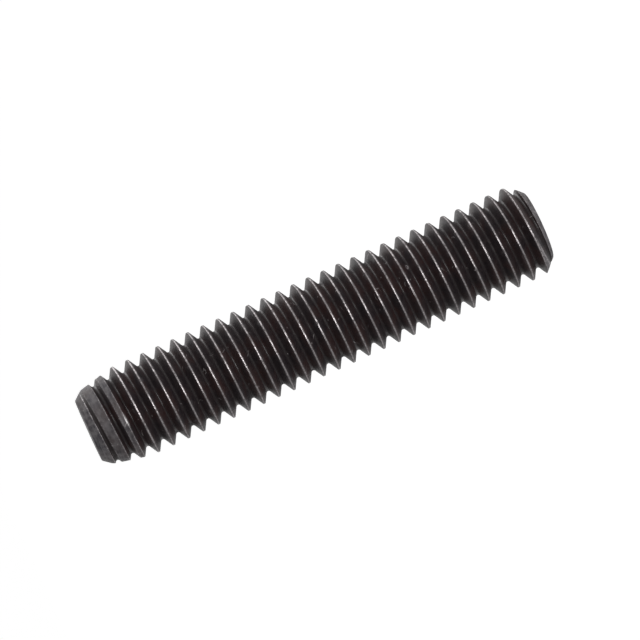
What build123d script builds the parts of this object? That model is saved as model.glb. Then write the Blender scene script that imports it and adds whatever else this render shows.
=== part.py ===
from build123d import *
import math
import os

# Taper lock stud: a headless, fully threaded steel stud, turned and threaded from one bar.
# Millimetres and degrees. The axis is +Z and the origin is the middle of the plain end's face,
# which is the bottom. The tapered end, which locks in its tapped hole, is the top.

# Thread: ISO metric, right-handed, M6 x 1.
MAJOR_DIAMETER = 5.88
PITCH = 1.0
FLANK_ANGLE = 30.0        # each flank, measured from the radial direction
CREST_FLAT = 0.125        # axial width of the flat on top of each turn
ROOT_RADIUS = 0.14        # fillet at the bottom of the groove
GROOVE_PHASE = 0.645      # height at which the groove first crosses +X, in pitches

# Ends.
LENGTH = 30.0
PLAIN_CHAMFER = 0.8       # 45 degree chamfer at the plain end
TAPER_LENGTH = 2.3        # sloping crests, from full diameter up to the tip chamfer
TAPER_ANGLE = 12.7        # slope of those crests against the axis
TIP_CHAMFER_LENGTH = 0.55
TIP_CHAMFER_ANGLE = 39.0  # against the axis

# How the solid is put together, which leaves no mark on it.
SLEEVE_WALL = 0.5         # the thread is first made as a sleeve, with this much under its root
SPARE_TURNS = 2           # whole turns that a sleeve has past what is cut at its end
CUTTER_MARGIN = 0.5       # how far the end cutters reach past the sleeve, inside and outside
CUTTER_TURN = 100.0       # keeps the start of each cone off the edges of the thread


def tan_deg(angle):
    return math.tan(math.radians(angle))


major_radius = MAJOR_DIAMETER / 2
bottom_face_radius = major_radius - PLAIN_CHAMFER
tip_height = LENGTH - TIP_CHAMFER_LENGTH
tip_radius = major_radius - TAPER_LENGTH * tan_deg(TAPER_ANGLE)
top_face_radius = tip_radius - TIP_CHAMFER_LENGTH * tan_deg(TIP_CHAMFER_ANGLE)

# Axial section of the groove. Its two flanks would meet at the apex, and the root fillet
# touches both of them. Half widths are measured along the axis from the middle of the groove.
groove_half = (PITCH - CREST_FLAT) / 2
fillet_half = ROOT_RADIUS * math.cos(math.radians(FLANK_ANGLE))
apex_radius = major_radius - groove_half / tan_deg(FLANK_ANGLE)
fillet_edge_radius = apex_radius + fillet_half / tan_deg(FLANK_ANGLE)
root_radius = apex_radius + ROOT_RADIUS / math.sin(math.radians(FLANK_ANGLE)) - ROOT_RADIUS
sleeve_radius = root_radius - SLEEVE_WALL

# The end cutters reach this far along the axis, past every spare turn.
cutter_reach = 2 * SPARE_TURNS * PITCH

axis_line = Edge.make_line((0, 0, -LENGTH), (0, 0, 2 * LENGTH))


def make_turn(number):
    """One turn of the sleeve: a crest and the groove above it, swept once round the axis.

    Turn 0 starts at +X with its groove at the height that GROOVE_PHASE gives.
    """
    middle = (number + GROOVE_PHASE) * PITCH
    bottom = middle + groove_half - PITCH
    top = middle + groove_half
    section = make_face(
        [
            Line((sleeve_radius, bottom), (major_radius, bottom)),
            Line((major_radius, bottom), (major_radius, middle - groove_half)),
            Line((major_radius, middle - groove_half), (fillet_edge_radius, middle - fillet_half)),
            ThreePointArc(
                (fillet_edge_radius, middle - fillet_half),
                (root_radius, middle),
                (fillet_edge_radius, middle + fillet_half),
            ),
            Line((fillet_edge_radius, middle + fillet_half), (major_radius, top)),
            Line((major_radius, top), (sleeve_radius, top)),
            Line((sleeve_radius, top), (sleeve_radius, bottom)),
        ]
    )
    path = Helix(pitch=PITCH, height=PITCH, radius=major_radius, center=(0, 0, middle))
    return sweep(Plane.XZ * section, path=path, is_frenet=True)


def outer_skin(solid):
    """The faces of a sleeve that show, without its inner sides and the steps at its two ends."""
    skin = []
    for face in solid.faces():
        if face.geom_type == GeomType.PLANE:
            # An end face is a ring here, and its outer edge bounds the real, whole one. The steps
            # at which the sleeve's turns start and stop stand along the axis, and aren't kept.
            if abs(face.normal_at().Z) > 0.9:
                skin.append(Face(face.outer_wire()))
        elif face.geom_type == GeomType.CONE:
            skin.append(face)
        elif face.distance_to(axis_line) > sleeve_radius + SLEEVE_WALL / 2:
            skin.append(face)
    return skin


def make_sleeve(first, last):
    """Solid of several whole turns, without the faces at which one turn meets the next."""
    alike = {}
    for number in range(first, last + 1):
        for face in make_turn(number).faces():
            spot = face.center()
            place = (round(spot.X, 3), round(spot.Y, 3), round(spot.Z, 3), round(face.area, 3))
            alike.setdefault(place, []).append(face)
    return Solid(Shell([faces[0] for faces in alike.values() if len(faces) == 1]))


def turned_cutter(*outline):
    """Cutter turned about the axis from an outline of radius and height."""
    profile = Plane.XZ * make_face(Polyline(*outline, close=True))
    return Rot(0, 0, CUTTER_TURN) * revolve(profile, Axis.Z)


def plain_end_cutter():
    """What is faced and chamfered off below the stud."""
    outer = major_radius + CUTTER_MARGIN
    inner = sleeve_radius - CUTTER_MARGIN
    return turned_cutter(
        (inner, 0),
        (bottom_face_radius, 0),
        (outer, PLAIN_CHAMFER + CUTTER_MARGIN),
        (outer, -cutter_reach),
        (inner, -cutter_reach),
    )


def tapered_end_cutter():
    """What is faced, chamfered and tapered off above the stud."""
    outer = major_radius + CUTTER_MARGIN
    inner = sleeve_radius - CUTTER_MARGIN
    return turned_cutter(
        (inner, LENGTH),
        (top_face_radius, LENGTH),
        (tip_radius, tip_height),
        (outer, tip_height - TAPER_LENGTH - CUTTER_MARGIN / tan_deg(TAPER_ANGLE)),
        (outer, LENGTH + cutter_reach),
        (inner, LENGTH + cutter_reach),
    )


def make_stud():
    """Sleeves of a few turns are cut to the two ends, and whole turns fill in between them."""
    lowest_uncut = math.ceil(PLAIN_CHAMFER / PITCH) + 1
    highest_uncut = math.floor((tip_height - TAPER_LENGTH) / PITCH) - SPARE_TURNS
    topmost = math.ceil(LENGTH / PITCH)
    skin = outer_skin(make_sleeve(-SPARE_TURNS, lowest_uncut - 1) - plain_end_cutter())
    for number in range(lowest_uncut, highest_uncut + 1):
        skin.extend(outer_skin(make_turn(number)))
    skin.extend(outer_skin(make_sleeve(highest_uncut + 1, topmost) - tapered_end_cutter()))
    return Solid(Shell(skin))


stud = make_stud()

os.makedirs("parts", exist_ok=True)
export_step(stud, "parts/stud.step")
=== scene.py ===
import math
import random

import bmesh
import bpy
import numpy as np
from mathutils import Matrix, Vector


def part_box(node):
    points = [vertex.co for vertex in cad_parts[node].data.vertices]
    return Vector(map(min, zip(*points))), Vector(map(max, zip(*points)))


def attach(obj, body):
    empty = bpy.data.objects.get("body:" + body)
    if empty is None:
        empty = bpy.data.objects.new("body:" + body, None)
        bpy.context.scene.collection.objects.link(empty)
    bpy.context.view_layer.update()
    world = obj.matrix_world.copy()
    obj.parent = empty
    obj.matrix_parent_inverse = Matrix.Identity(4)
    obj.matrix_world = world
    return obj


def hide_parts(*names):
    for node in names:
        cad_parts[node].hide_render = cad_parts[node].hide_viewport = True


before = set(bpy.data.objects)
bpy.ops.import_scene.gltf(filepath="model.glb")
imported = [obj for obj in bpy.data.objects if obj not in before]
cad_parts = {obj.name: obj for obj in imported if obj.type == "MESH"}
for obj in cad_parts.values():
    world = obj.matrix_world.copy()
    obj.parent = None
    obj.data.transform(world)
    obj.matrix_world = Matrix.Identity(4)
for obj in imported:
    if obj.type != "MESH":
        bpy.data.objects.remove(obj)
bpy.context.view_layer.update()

# A taper lock stud, standing on its plain end. The thread is worked out here in millimetres and
# degrees, with its worn edges, nicks and burr, and turned into metres when the mesh is made.
# The camera, the floor and the lamps are in metres.
MM = 0.001

# Thread, as the real one is cut: ISO metric, right-handed, M6 x 1.
PITCH = 1.0
FLANK_ANGLE = 30.0
CREST_FLAT = 0.125
ROOT_RADIUS = 0.14
GROOVE_PHASE = 0.645      # height at which the groove first crosses +X, in pitches

# Ends.
PLAIN_CHAMFER = 0.8
TAPER_LENGTH = 2.3
TAPER_ANGLE = 12.7
TIP_CHAMFER_LENGTH = 0.55
TIP_CHAMFER_ANGLE = 39.0

# Rounding of the corners between two surfaces, as the depth over which they blend.
CREST_ROUNDING = 0.03
CUT_ROUNDING = 0.045      # the same on the turned ends, where the thread runs out
TIP_ROUNDING = 0.08
TAPER_ROUNDING = 0.03
CHAMFER_ROUNDING = 0.03
FACE_BREAK = 0.04         # how far the broken edge of each end face reaches along the axis
FACE_BREAK_DEPTH = 0.025

# Mesh density.
ROWS_PER_TURN = 120
FINE_COLUMNS = 48         # across one pitch, near the ends
FINE_MARGIN = 0.1         # how far past an end's last cut the fine columns go on
CROSSING_SAMPLES = 801    # places tried, to find where the groove meets the outline
FACE_REACH = 1.0          # how far past each end the grid runs on, which becomes the end's face
LEAST_TRIANGLE = 1e-9     # twice the area under which a triangle is left out
MERGE_DISTANCE = 2e-8     # metres

# Columns beside the full-height thread, from the middle of the groove to the middle of the
# crest: the root's fillet ends at 0.1212 and the flank at 0.4375.
COARSE_HALF = (0.0, 0.03, 0.06, 0.09, 0.1212, 0.26, 0.415, 0.4375, 0.456, 0.5)

# How far below the thread's full radius the outline is where the tool has cut the crest, and
# the depth over which that comes on.
CUT_DEPTH = 0.06
CUT_FADE = 0.05

# Wear of the edges, by how far the groove's surface would rise over the outline. That is 0 at
# an edge, more on the crest and less in the groove. An upper edge is the crest's edge towards
# the tapered end.
CREST_AT_EDGE = 0.35      # how much an edge counts as crest; 1 is all of it
CREST_FADE = 0.05
RIM_WIDTH = 0.03
WEAR_START_UPPER = 0.005  # on full crests
WEAR_START_LOWER = 0.02
WEAR_FADE = 0.05
CUT_WEAR_OUT = 0.045      # reach of the bare edge of a cut crest, onto the crest
CUT_WEAR_IN = 0.012       # and into the groove
CUT_WEAR_UPPER = 0.4      # wear of a cut crest's upper edges, beside 1 for its lower ones

# Finish of the turned ends, and of the groove's root, which is darkened with painted shade.
TURNED_FADE = 0.02
TAPER_TURNED_SHARE = 0.65         # how much of the turned ends' colour, metal and roughness the taper gets, the rest staying oxide; 1 is all of it
FACE_FADE = 0.02
# The groove's root gets painted shade out to these reaches, and its roughness changes there too.
DEEP_REACH = 0.12         # how far from its middle the groove's root is dark
DEEP_REACH_ENDS = 0.12    # how much farther, where the groove runs out

# Handling marks along the crests.
WEAR_SEED = 41
NICKS = 130
NICK_MARGIN = 0.5         # turns left out at either end of the range that has them
NICK_LONG = (0.08, 0.22)
NICK_WIDE = (0.04, 0.09)
NICK_DEEP = (0.015, 0.05)
NICK_REACH = 4            # in its own lengths and widths, past which a nick is left out
WAVER_DEPTH = 0.03

# Bright burr on the edge where the thread runs out on the taper.
BURR_ANGLE = 262.0        # degrees around from +X
BURR_BELOW_TIP = 2.27
BURR_LONG = 0.3
BURR_WIDE = 0.2
BURR_DEPTH = 0.155        # of its flattened spot, below the thread's crests
BURR_RISE = 0.06          # how much higher that spot's surface gets away from its middle
BURR_RIM = 0.2            # how strong the burr still is at the spot's rim; 1 is its middle
BURR_CLEARANCE = 1.0      # how far the spot's surface is lifted off the stud, past its rim
BURR_ROUNDING = 0.01
BURR_SHINE = 0.1          # reach of its shine from the edge

# Camera.
CAMERA_DISTANCE = 0.30945
CAMERA_ABOVE_TIP = 0.006832
CAMERA_DOWN = 0.07208     # radians
CAMERA_ASIDE = 0.0009     # radians
CAMERA_ROLL = 0.42883     # radians
CAMERA_LENS = 288.5       # millimetres
SENSOR = 36.0             # millimetres
CLIP_START = 0.01
CLIP_END = 20

# Noises of the material: waves per millimetre, detail and roughness.
PATCHES = (0.7, 3.0, 0.5)
MOTTLE = (2.6, 4.0, 0.6)
STREAKS = (4.5, 3.0, 0.7)
GRAIN = (11.0, 3.0, 0.6)
TOOL_LINES = (7.0, 3.0, 0.6)
TOOL_LINES_AROUND = 0.12  # how fast they change across the stud, beside 1 along it

# Colours. A layer is its colour, the values of a noise or an attribute between which it comes
# over what is under it, and how much of that it then covers.
OXIDE_DARK = (0.0145, 0.0103, 0.0120, 1)
OXIDE_RED = ((0.030, 0.0138, 0.0128, 1), 0.42, 0.60, 1.0)
OXIDE_PALE = ((0.032, 0.0240, 0.0250, 1), 0.40, 0.80, 1.0)
OXIDE_DUST = ((0.050, 0.040, 0.042, 1), 0.50, 0.70, 0.4)
# Painted shade in the groove's root.
ROOT_PAINTED_SHADE = ((0.0085, 0.0038, 0.0040, 1), 0.2, 0.9, 1.0)
TURNED_DARK = (0.038, 0.035, 0.041, 1)
TURNED_WARM = ((0.076, 0.066, 0.065, 1), 0.40, 0.62, 1.0)
TURNED_PALE = ((0.158, 0.147, 0.151, 1), 0.42, 0.66, 1.0)
TURNED_LINES = ((0.190, 0.177, 0.185, 1), 0.42, 0.66, 0.6)
STEEL_DULL = (0.25, 0.230, 0.233, 1)
STEEL_BRIGHT = ((0.71, 0.67, 0.678, 1), 0.3, 0.7, 1.0)
MARK_COLOUR = (0.40, 0.37, 0.37, 1)
BURR_COLOUR = (0.90, 0.88, 0.88, 1)
WHITE = (1, 1, 1, 1)

# Specks and scratches: cells per millimetre, and how far from a cell's point or edge they fade,
# in cells.
SPECK_CELLS = 1.1
SPECK_FADE = (0.035, 0.06)
SCRATCH_CELLS = 0.45
SCRATCH_FADE = (0.004, 0.012)
SCRATCH_BEND = (1.6, 1.6, 1.6)
SCRATCH_BEND_WAVES = 0.8
SCRATCH_PARTS = (1.3, 2.0, 0.5)     # the noise that leaves only parts of them
SCRATCH_KEPT = (0.62, 0.66)         # the values of that noise between which they come in
MARK_STRENGTH = 0.55

# Ramps: two values of what goes in, and what comes out at each.
BARE_BY_STREAKS = (0.34, 0.56, 0.35, 1.0)
BARE_BY_GRAIN = (0.42, 0.58, 0.1, 1.0)
RAGGED_BY_TURNED = (0.0, 0.3, 0.0, 1.0)
METAL_BY_BARE = (0.1, 0.6, 0.0, 1.0)
ROUGH_BY_METAL = (0.0, 0.6, 0.46, 0.36)
ROUGH_BY_GRAIN = (0.3, 0.7, 0.06, -0.07)
ROOT_ROUGH_BY_PATCHES = (0.44, 0.56, 0.2, -0.2)
ROOT_BY_DEEP = (0.2, 0.9, 0.0, 1.0)

# Other shares and sizes of the material.
TURNED_METAL = 0.3
TURNED_ROUGHER = 0.14
BURR_SMOOTHER = 0.2
OXIDE_IOR = 1.45
BUMP_STRENGTH = 0.5
GRAIN_BUMP = 0.000004     # metres, as the next two are
MOTTLE_BUMP = 0.000015
LINE_BUMP = 0.00001

# Floor: its paint, and its own glow as the camera, reflections and all other rays see it.
FLOOR_SIZE = 40
FLOOR_GAP = 0.00002       # between the plain end and the floor, so that they don't coincide
FLOOR_PAINT = (0.35, 0.35, 0.35, 1)
FLOOR_CAMERA = 0.975
FLOOR_GLOSS = 0.5
FLOOR_OTHER = 0.9

# Studio around the object, as the camera, reflections and all other rays see it.
WORLD_CAMERA = 1.0
WORLD_GLOSS = (0.15, 1.0)           # on its dark side and on its light side
WORLD_TURN = (-0.5, 0.7)            # where one side passes into the other
WORLD_LIGHT_SIDE = (0.71, 0.71, 0)
WORLD_OTHER = 0.09

# Soft boxes: name, place from the stud's middle, (width, height) and power in watts.
LAMPS = (
    ("key", (0.45, -0.08, 0.0), (0.3, 0.3), 0.46),
    ("rim", (0.32, 0.24, 0.0), (0.3, 0.3), 0.33),
    ("front", (-0.008, -0.4, 0.02), (0.26, 0.11), 0.62),
    ("fill", (-0.4, -0.15, 0.0), (0.5, 0.5), 0.12),
    ("side", (0.42, -0.07, 0.19), (0.2, 0.2), 0.1),
    ("over", (-0.32, 0.08, 0.33), (0.14, 0.14), 0.07),
    ("over", (0.32, 0.08, 0.33), (0.14, 0.14), 0.07),
    ("top", (0.0, 0.0, 0.35), (0.3, 0.3), 0.03),
)


def tan_deg(angle):
    """Tangent of an angle in degrees."""
    return math.tan(math.radians(angle))


class Stud:
    """The stud's section, in millimetres: the groove's profile and the outline of both ends."""

    def __init__(self, low, high):
        self.length = (high.z - low.z) / MM
        self.radius = (high.x - low.x) / 2 / MM
        self.plain_face = self.radius - PLAIN_CHAMFER
        self.tip_height = self.length - TIP_CHAMFER_LENGTH
        self.tip_radius = self.radius - TAPER_LENGTH * tan_deg(TAPER_ANGLE)
        self.top_face = self.tip_radius - TIP_CHAMFER_LENGTH * tan_deg(TIP_CHAMFER_ANGLE)
        self.slope = 1 / tan_deg(FLANK_ANGLE)
        self.apex = self.radius - (PITCH - CREST_FLAT) / 2 * self.slope
        lean = math.radians(FLANK_ANGLE)
        self.root = self.apex + ROOT_RADIUS / math.sin(lean) - ROOT_RADIUS
        self.fillet_half = ROOT_RADIUS * math.cos(lean)

    def groove(self, across):
        """Radius of the groove's surface at a distance along the axis from its middle."""
        inside = np.clip(ROOT_RADIUS**2 - across**2, 0, None)
        fillet = self.root + ROOT_RADIUS - np.sqrt(inside)
        return np.where(across < self.fillet_half, fillet, self.apex + across * self.slope)

    def envelope(self, height):
        """Radius of the turned outline at a height: chamfer, cylinder, taper and tip chamfer."""
        chamfer = self.plain_face + height
        taper = self.tip_radius + (self.tip_height - height) * tan_deg(TAPER_ANGLE)
        tip = self.top_face + (self.length - height) * tan_deg(TIP_CHAMFER_ANGLE)
        outline = blended_least(chamfer, np.full_like(height, self.radius), CHAMFER_ROUNDING)
        outline = blended_least(outline, taper, TAPER_ROUNDING)
        outline = blended_least(outline, tip, TIP_ROUNDING)
        for gap in (height, self.length - height):
            outline = outline - FACE_BREAK_DEPTH * np.clip(1 - gap / FACE_BREAK, 0, 1) ** 2
        return outline

    def corners(self):
        """Heights at which the outline turns a corner."""
        taper_start = self.tip_height - TAPER_LENGTH
        return (
            0.0,
            FACE_BREAK,
            PLAIN_CHAMFER,
            taper_start,
            self.tip_height,
            self.length - FACE_BREAK,
            self.length,
        )

    def is_full(self, start):
        """Whether the pitch that starts at this height has its crest at full height all along."""
        taper_start = self.tip_height - TAPER_LENGTH
        return start > PLAIN_CHAMFER + FINE_MARGIN and start + PITCH < taper_start - FINE_MARGIN


def blended_least(one, other, depth):
    """The smaller of two radii, with a rounded corner where they cross."""
    share = np.clip(0.5 + 0.5 * (other - one) / depth, 0, 1)
    return other + (one - other) * share - depth * share * (1 - share)


def turned_by(angle, from_angle):
    """Angle from one direction to another, between half a turn back and half a turn on."""
    return np.remainder(angle - from_angle + math.pi, 2 * math.pi) - math.pi


def nicks(stud, angle, height, tops):
    """Depth of the small dents along the crests. tops is 1 on a crest and 0 in the groove.

    Turns are counted from where the groove first crosses +X. The crest is half a pitch above it.
    """
    rng = random.Random(WEAR_SEED)
    depth = np.zeros_like(height)
    for _ in range(NICKS):
        turn = rng.uniform(NICK_MARGIN, stud.length / PITCH - NICK_MARGIN)
        side = rng.choice((-1, 1))
        middle = (turn + GROOVE_PHASE + 0.5) * PITCH + side * CREST_FLAT / 2
        long = rng.uniform(*NICK_LONG)
        wide = rng.uniform(*NICK_WIDE)
        deep = rng.uniform(*NICK_DEEP)
        around = turned_by(angle, 2 * math.pi * turn) * stud.radius
        along = height - middle
        near = (np.abs(around) < NICK_REACH * long) & (np.abs(along) < NICK_REACH * wide)
        dent = deep * np.exp(-((around[near] / long) ** 2) - (along[near] / wide) ** 2)
        depth[near] += dent * tops[near]
    return depth


def waver(count):
    """Fine unevenness of the crests, one depth for each row along the thread."""
    rng = np.random.default_rng(WEAR_SEED)
    rough = rng.uniform(0, 1, count + 2)
    smooth = (rough[:-2] + 2 * rough[1:-1] + rough[2:]) / 4
    return WAVER_DEPTH * smooth**2


def burr(stud, angle, height):
    """1 in the middle of the bright burr and 0 away from it."""
    around = turned_by(angle, math.radians(BURR_ANGLE)) * stud.radius / BURR_LONG
    along = (height - stud.length + BURR_BELOW_TIP) / BURR_WIDE
    return np.exp(-(around**2) - along**2)


def groove_distance(height, start):
    """Distance along the axis to the nearest groove's middle, where one of them is at start."""
    return np.abs(np.remainder(height - start + PITCH / 2, PITCH) - PITCH / 2)


def crossings(stud, start):
    """Places within one pitch at which the groove meets the outline."""
    samples = np.linspace(0, PITCH, CROSSING_SAMPLES)
    step = samples[1]
    height = np.clip(start + samples, 0, stud.length)
    over = stud.groove(groove_distance(height, start)) - stud.envelope(height)
    before = np.nonzero(over[:-1] * over[1:] < 0)[0]
    return [start + samples[k] + step * over[k] / (over[k] - over[k + 1]) for k in before]


def column_places(stud, start):
    """Places along the axis of one row's columns, from a groove's middle to the next one's.

    Rows beside the full-height thread repeat a few places, and their doubles are merged later.
    Rows near the ends are evenly fine, with the nearest columns moved onto each corner.
    """
    if stud.is_full(start):
        half = np.array(COARSE_HALF)
        coarse = np.concatenate([half, PITCH - half[-2::-1]])
        spread = np.round(np.linspace(0, len(coarse) - 1, FINE_COLUMNS + 1)).astype(int)
        return start + coarse[spread]
    places = start + np.linspace(0, PITCH, FINE_COLUMNS + 1)
    marks = crossings(stud, start)
    marks += [corner for corner in stud.corners() if start < corner < start + PITCH]
    for mark in marks:
        nearest = 1 + int(np.abs(places[1:-1] - mark).argmin())
        places[nearest] = mark
    return places


class Grid:
    """The whole surface as rows that wind up the thread, each from one groove to the next.

    Every value has a row for each step around the thread and a column for each place along it.
    over is how far the groove's surface would rise over the outline, full is 1 where the crest
    has its full height and 0 where the tool cut it, and beyond is how far past an end a column is.
    """

    def __init__(self, stud):
        turns = (stud.length + 2 * FACE_REACH + PITCH) / PITCH
        first = math.floor((-FACE_REACH / PITCH - 1 - GROOVE_PHASE) * ROWS_PER_TURN)
        count = math.ceil(turns * ROWS_PER_TURN) + ROWS_PER_TURN + 2
        rows = np.arange(first, first + count)
        starts = (rows / ROWS_PER_TURN + GROOVE_PHASE) * PITCH
        place = np.array([column_places(stud, start) for start in starts])
        angle = 2 * math.pi * rows / ROWS_PER_TURN
        self.angle = np.broadcast_to(angle[:, None], place.shape)
        self.height = np.clip(place, 0, stud.length)
        self.beyond = np.maximum(-place, place - stud.length)
        self.upper = place - starts[:, None] > PITCH / 2
        self.across = groove_distance(self.height, starts[:, None])
        self.outline = stud.envelope(self.height)
        self.groove = stud.groove(self.across)
        self.over = self.groove - self.outline
        self.full = np.clip((self.outline - stud.radius + CUT_DEPTH) / CUT_FADE, 0, 1)
        self.crest = np.clip(CREST_AT_EDGE + self.over / CREST_FADE, 0, 1)
        self.burr = burr(stud, self.angle, self.height)


def surface_points(stud, grid):
    """Points of the groove and the outline blended, with the burr, the nicks and the waver."""
    rounding = CREST_ROUNDING + (CUT_ROUNDING - CREST_ROUNDING) * (1 - grid.full)
    radius = blended_least(grid.groove, grid.outline, rounding)
    clearance = np.where(grid.burr < BURR_RIM, BURR_CLEARANCE, 0)
    flattened = stud.radius - BURR_DEPTH + BURR_RISE * (1 - grid.burr) + clearance
    radius = blended_least(radius, flattened, BURR_ROUNDING)
    rim = np.exp(-((grid.over / RIM_WIDTH) ** 2))
    tops = np.clip(rim + grid.crest, 0, 1)
    radius = radius - nicks(stud, grid.angle, grid.height, tops)
    radius = radius - waver(len(tops))[:, None] * tops * grid.full
    closing = np.clip(1 - grid.beyond / FACE_REACH, 0, 1)
    radius = radius * np.where(grid.beyond > 0, closing, 1)
    return np.stack([radius * np.cos(grid.angle), radius * np.sin(grid.angle), grid.height], -1)


def surface_finish(stud, grid):
    """How worn, turned, deep in the groove and part of the burr each point is, from 0 to 1."""
    over, full = grid.over, grid.full
    edge = np.exp(-((over / np.where(over > 0, CUT_WEAR_OUT, CUT_WEAR_IN)) ** 2))
    edge = edge * np.where(grid.upper, CUT_WEAR_UPPER, 1)
    wear_start = np.where(grid.upper, WEAR_START_UPPER, WEAR_START_LOWER)
    worn = np.clip((over - wear_start) / WEAR_FADE, 0, 1) * full + edge * (1 - full)
    on_taper = (grid.height > stud.length / 2) & (grid.height < stud.tip_height)
    turned = np.clip(0.5 + over / TURNED_FADE, 0, 1) * (1 - full)
    # The taper gets less of the turned finish than the plain end, which leaves it darker.
    turned = turned * np.where(on_taper, TAPER_TURNED_SHARE, 1)
    # deep is where painted shade darkens the groove's root, and where the root's roughness
    # changes.
    deep_reach = DEEP_REACH + DEEP_REACH_ENDS * (1 - full)
    deep = np.clip(1 - grid.across / deep_reach, 0, 1) * (1 - grid.crest)
    face = np.clip(grid.beyond / FACE_FADE, 0, 1)
    return {
        "worn": worn * (1 - face),
        "turned": np.maximum(turned, face),
        "deep": deep,
        "burr": grid.burr * np.exp(-((over / BURR_SHINE) ** 2)),
    }


def grid_triangles(points):
    """Triangles between the rows. A row's last column is the first one of the row a turn on."""
    count, width = points.shape[:2]
    ids = np.arange(count * width).reshape(count, width)
    ids[: count - ROWS_PER_TURN, -1] = ids[ROWS_PER_TURN:, 0]
    a, b = ids[:-1, :-1], ids[1:, :-1]
    c, d = ids[1:, 1:], ids[:-1, 1:]
    triangles = np.concatenate([np.stack([a, b, d], -1), np.stack([b, c, d], -1)], 1)
    triangles = triangles.reshape(-1, 3)
    corners = points.reshape(-1, 3)[triangles]
    first, second = corners[:, 1] - corners[:, 0], corners[:, 2] - corners[:, 0]
    return triangles[np.linalg.norm(np.cross(first, second), axis=1) > LEAST_TRIANGLE]


def surface_mesh(points, finish):
    """Smooth-shaded mesh of the grid, in metres, with the finish as point attributes."""
    used, triangles = np.unique(grid_triangles(points), return_inverse=True)
    triangles = triangles.reshape(-1, 3)
    mesh = bpy.data.meshes.new("threaded_stud")
    mesh.vertices.add(len(used))
    mesh.vertices.foreach_set("co", (points.reshape(-1, 3)[used] * MM).ravel())
    mesh.loops.add(triangles.size)
    mesh.loops.foreach_set("vertex_index", triangles.ravel())
    mesh.polygons.add(len(triangles))
    mesh.polygons.foreach_set("loop_start", np.arange(0, triangles.size, 3))
    mesh.polygons.foreach_set("loop_total", np.full(len(triangles), 3))
    for name, values in finish.items():
        attribute = mesh.attributes.new(name, "FLOAT", "POINT")
        attribute.data.foreach_set("value", values.reshape(-1)[used].astype(np.float32))
    mesh.update(calc_edges=True)
    work = bmesh.new()
    work.from_mesh(mesh)
    bmesh.ops.remove_doubles(work, verts=work.verts, dist=MERGE_DISTANCE)
    work.to_mesh(mesh)
    work.free()
    mesh.validate()
    mesh.polygons.foreach_set("use_smooth", np.ones(len(mesh.polygons), bool))
    return mesh


def build_stud(stud):
    """The stud's one piece: the thread and both end faces, closed all around."""
    grid = Grid(stud)
    mesh = surface_mesh(surface_points(stud, grid), surface_finish(stud, grid))
    piece = bpy.data.objects.new("threaded_stud", mesh)
    bpy.context.scene.collection.objects.link(piece)
    return piece


def make_camera(high):
    """Camera beside the stud, rolled so that the tapered end lies to the left in the picture."""
    camera = bpy.data.cameras.new("camera")
    holder = bpy.data.objects.new("camera", camera)
    bpy.context.scene.collection.objects.link(holder)
    forward = Vector(
        (
            math.sin(CAMERA_ASIDE),
            math.cos(CAMERA_DOWN) * math.cos(CAMERA_ASIDE),
            -math.sin(CAMERA_DOWN) * math.cos(CAMERA_ASIDE),
        )
    )
    toward_plain_end = Vector((0, -math.sin(CAMERA_DOWN), -math.cos(CAMERA_DOWN)))
    upper_side = Vector((1, 0, 0))
    right = toward_plain_end * math.cos(CAMERA_ROLL) - upper_side * math.sin(CAMERA_ROLL)
    back = -forward
    right = (right - back * right.dot(back)).normalized()
    up = back.cross(right)
    matrix = Matrix((right, up, back)).transposed().to_4x4()
    matrix.translation = Vector((0, -CAMERA_DISTANCE, high.z + CAMERA_ABOVE_TIP))
    holder.matrix_world = matrix
    camera.sensor_width = SENSOR
    camera.lens = CAMERA_LENS
    camera.clip_start = CLIP_START
    camera.clip_end = CLIP_END
    bpy.context.scene.camera = holder


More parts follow.
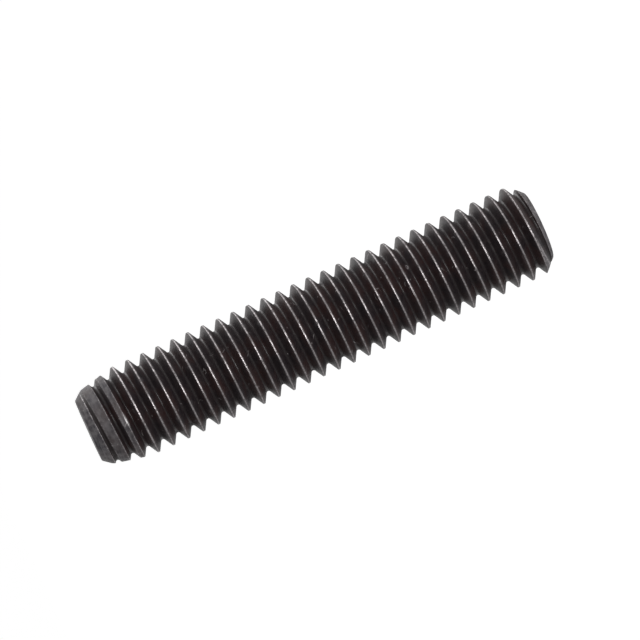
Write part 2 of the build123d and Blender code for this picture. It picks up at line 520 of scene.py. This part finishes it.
class Nodes:
    """Short calls for building a node tree."""

    def __init__(self, tree):
        self.tree = tree
        tree.nodes.clear()

    def new(self, kind, **values):
        node = self.tree.nodes.new(kind)
        for name, value in values.items():
            setattr(node, name, value)
        return node

    def link(self, source, target):
        self.tree.links.new(source, target)

    def feed(self, socket, value):
        if isinstance(value, bpy.types.NodeSocket):
            self.link(value, socket)
        else:
            socket.default_value = value

    def math(self, operation, *values):
        node = self.new("ShaderNodeMath", operation=operation)
        for socket, value in zip(node.inputs, values):
            self.feed(socket, value)
        return node.outputs[0]

    def scaled(self, vector, scale):
        node = self.new("ShaderNodeVectorMath", operation="MULTIPLY")
        self.feed(node.inputs[0], vector)
        node.inputs[1].default_value = (scale, scale, scale)
        return node.outputs[0]

    def noise(self, vector, scale, detail, roughness):
        node = self.new("ShaderNodeTexNoise")
        self.feed(node.inputs["Vector"], vector)
        node.inputs["Scale"].default_value = scale
        node.inputs["Detail"].default_value = detail
        node.inputs["Roughness"].default_value = roughness
        return node.outputs["Fac"]

    def ramp(self, value, low, high, to_low=0.0, to_high=1.0):
        node = self.new("ShaderNodeMapRange")
        self.feed(node.inputs["Value"], value)
        node.inputs["From Min"].default_value = low
        node.inputs["From Max"].default_value = high
        self.feed(node.inputs["To Min"], to_low)
        self.feed(node.inputs["To Max"], to_high)
        return node.outputs["Result"]

    def mix(self, factor, one, other):
        """Mix of two colours, which are the node's inputs 6 and 7 and its output 2."""
        node = self.new("ShaderNodeMix", data_type="RGBA")
        self.feed(node.inputs["Factor"], factor)
        self.feed(node.inputs[6], one)
        self.feed(node.inputs[7], other)
        return node.outputs[2]

    def layer(self, under, value, coat):
        """A layer's coat over the colour under it, by the value of a noise or an attribute."""
        colour, low, high, cover = coat
        return self.mix(self.ramp(value, low, high, 0.0, cover), under, colour)

    def bump(self, height, distance, normal=None):
        node = self.new("ShaderNodeBump")
        node.inputs["Strength"].default_value = BUMP_STRENGTH
        node.inputs["Distance"].default_value = distance
        self.feed(node.inputs["Height"], height)
        if normal is not None:
            self.feed(node.inputs["Normal"], normal)
        return node.outputs["Normal"]

    def attribute(self, name):
        node = self.new("ShaderNodeAttribute", attribute_name=name)
        return node.outputs["Fac"]

    def by_ray(self, camera, gloss, other):
        """Level that the camera sees, that reflections and glass show, or that lights the rest."""
        path = self.new("ShaderNodeLightPath")
        shown = self.math(
            "MAXIMUM", path.outputs["Is Glossy Ray"], path.outputs["Is Transmission Ray"]
        )
        level = self.ramp(shown, 0, 1, other, gloss)
        return self.ramp(path.outputs["Is Camera Ray"], 0, 1, level, camera)


def turning_lines(nodes, place):
    """Fine lines left by the tool around the turned ends, uneven along their length."""
    parts = nodes.new("ShaderNodeSeparateXYZ")
    nodes.link(place, parts.inputs[0])
    x, y, z = parts.outputs
    square = nodes.math("ADD", nodes.math("MULTIPLY", x, x), nodes.math("MULTIPLY", y, y))
    section = nodes.new("ShaderNodeCombineXYZ")
    nodes.link(nodes.math("SQRT", square), section.inputs[0])
    nodes.link(z, section.inputs[1])
    nodes.link(nodes.math("MULTIPLY", x, TOOL_LINES_AROUND), section.inputs[2])
    return nodes.noise(section.outputs[0], *TOOL_LINES)


def specks(nodes, place):
    """Few light specks: 1 on a speck and 0 elsewhere."""
    cells = nodes.new("ShaderNodeTexVoronoi")
    nodes.link(place, cells.inputs["Vector"])
    cells.inputs["Scale"].default_value = SPECK_CELLS
    return nodes.ramp(cells.outputs["Distance"], *SPECK_FADE, 1.0, 0.0)


def scratches(nodes, place):
    """Few short fine scratches: parts of bent cell edges. 1 on a scratch and 0 elsewhere."""
    wander = nodes.new("ShaderNodeTexNoise")
    nodes.link(place, wander.inputs["Vector"])
    wander.inputs["Scale"].default_value = SCRATCH_BEND_WAVES
    bent = nodes.new("ShaderNodeVectorMath", operation="MULTIPLY_ADD")
    nodes.link(wander.outputs["Color"], bent.inputs[0])
    bent.inputs[1].default_value = SCRATCH_BEND
    nodes.link(place, bent.inputs[2])
    cells = nodes.new("ShaderNodeTexVoronoi", feature="DISTANCE_TO_EDGE")
    nodes.link(bent.outputs[0], cells.inputs["Vector"])
    cells.inputs["Scale"].default_value = SCRATCH_CELLS
    line = nodes.ramp(cells.outputs["Distance"], *SCRATCH_FADE, 1.0, 0.0)
    kept = nodes.ramp(nodes.noise(place, *SCRATCH_PARTS), *SCRATCH_KEPT)
    return nodes.math("MULTIPLY", line, kept)


class Looks:
    """What the material depends on: noises in millimetres, and the finish kept on the mesh."""

    def __init__(self, nodes):
        place = nodes.scaled(nodes.new("ShaderNodeTexCoord").outputs["Object"], 1 / MM)
        self.patches = nodes.noise(place, *PATCHES)
        self.mottle = nodes.noise(place, *MOTTLE)
        self.streaks = nodes.noise(place, *STREAKS)
        self.grain = nodes.noise(place, *GRAIN)
        self.lines = turning_lines(nodes, place)
        marks = nodes.math("MAXIMUM", specks(nodes, place), scratches(nodes, place))
        self.marks = nodes.math("MULTIPLY", marks, MARK_STRENGTH)
        self.worn = nodes.attribute("worn")
        self.turned = nodes.attribute("turned")
        self.deep = nodes.attribute("deep")
        self.burr = nodes.attribute("burr")


def oxide_colour(nodes, looks):
    """Warm near-black, uneven and lightly dusty, with painted shade darkest at the groove's root.
    """
    colour = nodes.layer(OXIDE_DARK, looks.patches, OXIDE_RED)
    colour = nodes.layer(colour, looks.mottle, OXIDE_PALE)
    colour = nodes.layer(colour, looks.grain, OXIDE_DUST)
    # Painted shade at the groove's root.
    return nodes.layer(colour, looks.deep, ROOT_PAINTED_SHADE)


def turned_colour(nodes, looks):
    """Mottled grey of the turned ends, with the tool's lines."""
    colour = nodes.layer(TURNED_DARK, looks.patches, TURNED_WARM)
    colour = nodes.layer(colour, looks.mottle, TURNED_PALE)
    return nodes.layer(colour, looks.lines, TURNED_LINES)


def bare_steel(nodes, looks):
    """Share of bare steel: in streaks along the crests, and ragged on the turned ends."""
    streaked = nodes.ramp(looks.streaks, *BARE_BY_STREAKS)
    ragged = nodes.ramp(looks.grain, *BARE_BY_GRAIN)
    turned = nodes.ramp(looks.turned, *RAGGED_BY_TURNED)
    return nodes.math("MULTIPLY", looks.worn, nodes.ramp(turned, 0, 1, streaked, ragged))


def stud_colour(nodes, looks, bare):
    """Oxide, turned ends, bare steel, marks and burr, each over the one before."""
    colour = nodes.mix(looks.turned, oxide_colour(nodes, looks), turned_colour(nodes, looks))
    colour = nodes.mix(bare, colour, nodes.layer(STEEL_DULL, looks.grain, STEEL_BRIGHT))
    colour = nodes.mix(looks.marks, colour, MARK_COLOUR)
    return nodes.mix(looks.burr, colour, BURR_COLOUR)


def stud_metal(nodes, looks, bare):
    """Metallic on bare steel and on the burr, and partly so on the turned ends."""
    turned = nodes.math("MULTIPLY", looks.turned, TURNED_METAL)
    metal = nodes.math("MAXIMUM", nodes.ramp(bare, *METAL_BY_BARE), turned)
    return nodes.math("MAXIMUM", metal, looks.burr)


def stud_roughness(nodes, looks, metal):
    """Satin: rougher where turned, smoother on bare metal, and one or the other along the root."""
    rough = nodes.ramp(metal, *ROUGH_BY_METAL)
    rough = nodes.math("ADD", rough, nodes.math("MULTIPLY", looks.turned, TURNED_ROUGHER))
    root = nodes.ramp(looks.deep, *ROOT_BY_DEEP)
    patchy = nodes.ramp(looks.patches, *ROOT_ROUGH_BY_PATCHES)
    rough = nodes.math("ADD", rough, nodes.math("MULTIPLY", root, patchy))
    rough = nodes.math("SUBTRACT", rough, nodes.math("MULTIPLY", looks.burr, BURR_SMOOTHER))
    return nodes.math("ADD", rough, nodes.ramp(looks.grain, *ROUGH_BY_GRAIN))


def stud_relief(nodes, looks):
    """Fine unevenness of the oxide, and the tool's lines on the turned ends."""
    relief = nodes.bump(looks.grain, GRAIN_BUMP)
    relief = nodes.bump(looks.mottle, MOTTLE_BUMP, relief)
    return nodes.bump(nodes.math("MULTIPLY", looks.lines, looks.turned), LINE_BUMP, relief)


def black_oxide():
    """Black oxide on steel, worn to grey along the crests and the cut edges."""
    material = bpy.data.materials.new("black_oxide_steel")
    material.use_nodes = True
    nodes = Nodes(material.node_tree)
    shader = nodes.new("ShaderNodeBsdfPrincipled")
    output = nodes.new("ShaderNodeOutputMaterial")
    nodes.link(shader.outputs["BSDF"], output.inputs["Surface"])
    looks = Looks(nodes)
    bare = bare_steel(nodes, looks)
    metal = stud_metal(nodes, looks, bare)
    nodes.link(stud_colour(nodes, looks, bare), shader.inputs["Base Color"])
    nodes.link(metal, shader.inputs["Metallic"])
    nodes.link(stud_roughness(nodes, looks, metal), shader.inputs["Roughness"])
    nodes.link(stud_relief(nodes, looks), shader.inputs["Normal"])
    shader.inputs["IOR"].default_value = OXIDE_IOR
    return material


def make_floor(low):
    """White light table. Most of its white is its own, so that only a soft shadow shows on it."""
    bpy.ops.mesh.primitive_plane_add(size=FLOOR_SIZE, location=(0, 0, low.z - FLOOR_GAP))
    floor = bpy.context.object
    floor.name = "floor"
    material = bpy.data.materials.new("floor_white")
    material.use_nodes = True
    nodes = Nodes(material.node_tree)
    output = nodes.new("ShaderNodeOutputMaterial")
    paint = nodes.new("ShaderNodeBsdfDiffuse")
    paint.inputs["Color"].default_value = FLOOR_PAINT
    glow = nodes.new("ShaderNodeEmission")
    nodes.link(nodes.by_ray(FLOOR_CAMERA, FLOOR_GLOSS, FLOOR_OTHER), glow.inputs["Strength"])
    both = nodes.new("ShaderNodeAddShader")
    nodes.link(paint.outputs[0], both.inputs[0])
    nodes.link(glow.outputs[0], both.inputs[1])
    nodes.link(both.outputs[0], output.inputs["Surface"])
    floor.data.materials.append(material)


def make_world():
    """White behind the object, and a studio that reflections show lighter on one side."""
    world = bpy.data.worlds.new("studio")
    bpy.context.scene.world = world
    world.use_nodes = True
    nodes = Nodes(world.node_tree)
    output = nodes.new("ShaderNodeOutputWorld")
    background = nodes.new("ShaderNodeBackground")
    background.inputs["Color"].default_value = WHITE
    toward = nodes.new("ShaderNodeVectorMath", operation="DOT_PRODUCT")
    nodes.link(nodes.new("ShaderNodeTexCoord").outputs["Generated"], toward.inputs[0])
    toward.inputs[1].default_value = WORLD_LIGHT_SIDE
    room = nodes.ramp(toward.outputs["Value"], *WORLD_TURN, *WORLD_GLOSS)
    nodes.link(nodes.by_ray(WORLD_CAMERA, room, WORLD_OTHER), background.inputs["Strength"])
    nodes.link(background.outputs[0], output.inputs["Surface"])


def area_light(name, place, target, size, power):
    """Soft box that faces its target and that the camera doesn't see."""
    lamp = bpy.data.lights.new(name, "AREA")
    lamp.shape = "RECTANGLE"
    lamp.size, lamp.size_y = size
    lamp.energy = power
    holder = bpy.data.objects.new(name, lamp)
    bpy.context.scene.collection.objects.link(holder)
    holder.location = place
    holder.rotation_mode = "QUATERNION"
    holder.rotation_quaternion = (target - place).to_track_quat("-Z", "Y")
    holder.visible_camera = False


def make_lights(low, high):
    """Soft boxes all around the stud's middle."""
    middle = (low + high) / 2
    for name, place, size, power in LAMPS:
        area_light(name, middle + Vector(place), middle, size, power)


def main():
    low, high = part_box("stud")
    make_camera(high)
    piece = build_stud(Stud(low, high))
    piece.data.materials.append(black_oxide())
    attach(piece, "root")
    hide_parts("stud")
    make_floor(low)
    make_world()
    make_lights(low, high)
    bpy.context.scene.view_settings.view_transform = "Standard"


main()
